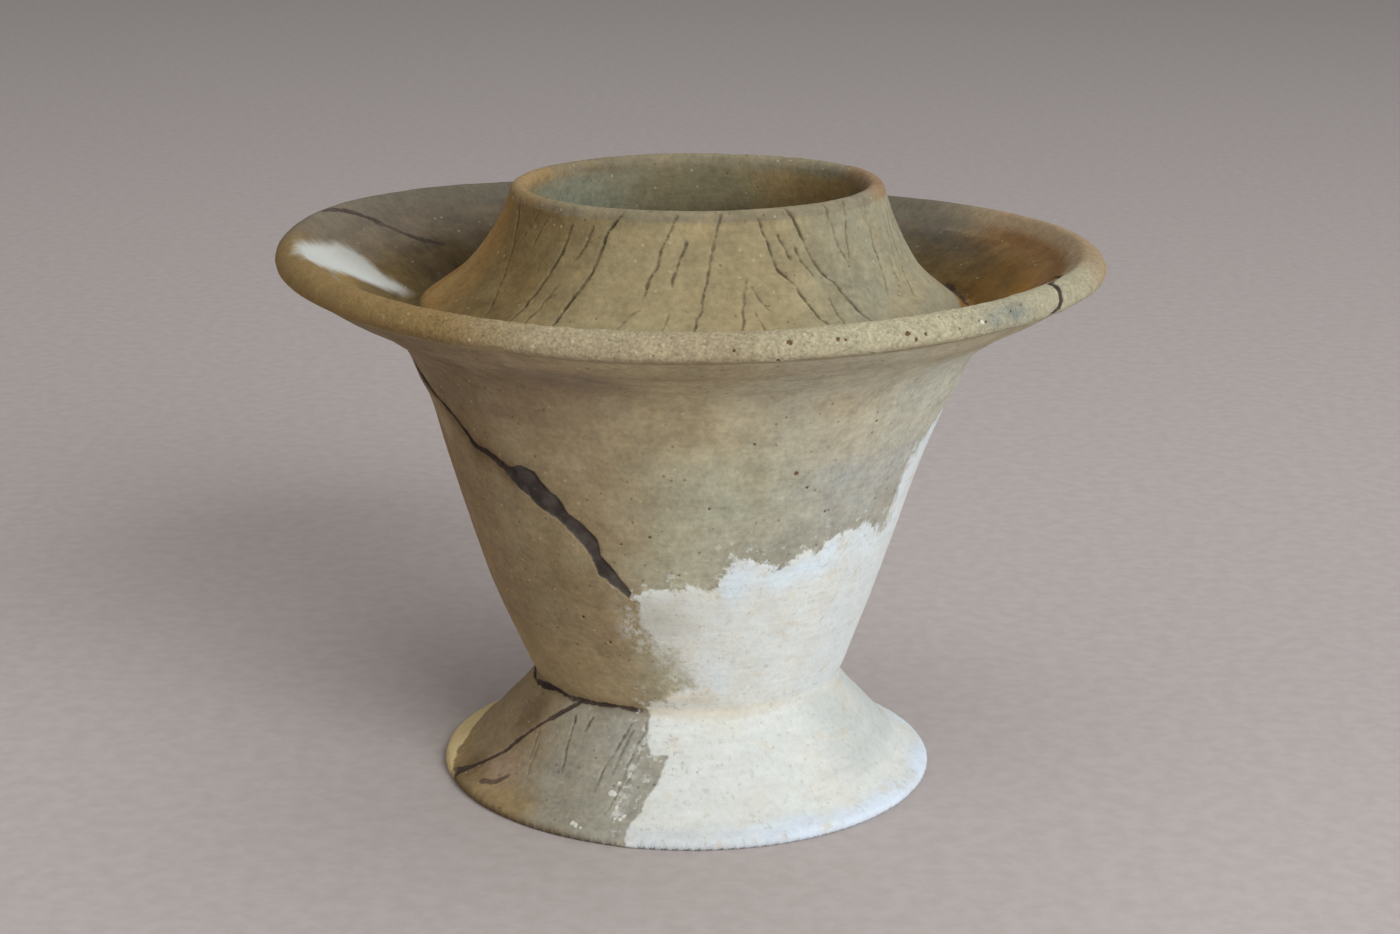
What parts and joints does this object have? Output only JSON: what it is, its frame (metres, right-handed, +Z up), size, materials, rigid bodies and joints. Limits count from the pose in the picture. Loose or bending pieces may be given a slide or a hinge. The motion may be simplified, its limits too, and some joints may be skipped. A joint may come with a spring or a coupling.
{
  "type": "footed jar",
  "caption": "Hollow footed pottery jar: flaring hollow foot, body widening upward, broad upturned flange round the shoulder and an incised cone-shaped collar with a round open mouth.",
  "frame": {"origin": "centre of the vessel in plan, on the plane of the foot ring", "axes": "+Z up through the mouth; -Y is the side with the large plaster restoration and the incised lines seen in the picture; +X to its right"},
  "size_m": [0.16, 0.16, 0.1189],
  "materials": {
    "clay": "matt sandy fired clay with incised lines, filled cracks and cream plaster restoration"
  },
  "bodies": {
    "root": {"footed_jar": "clay"}
  },
  "joints": []
}
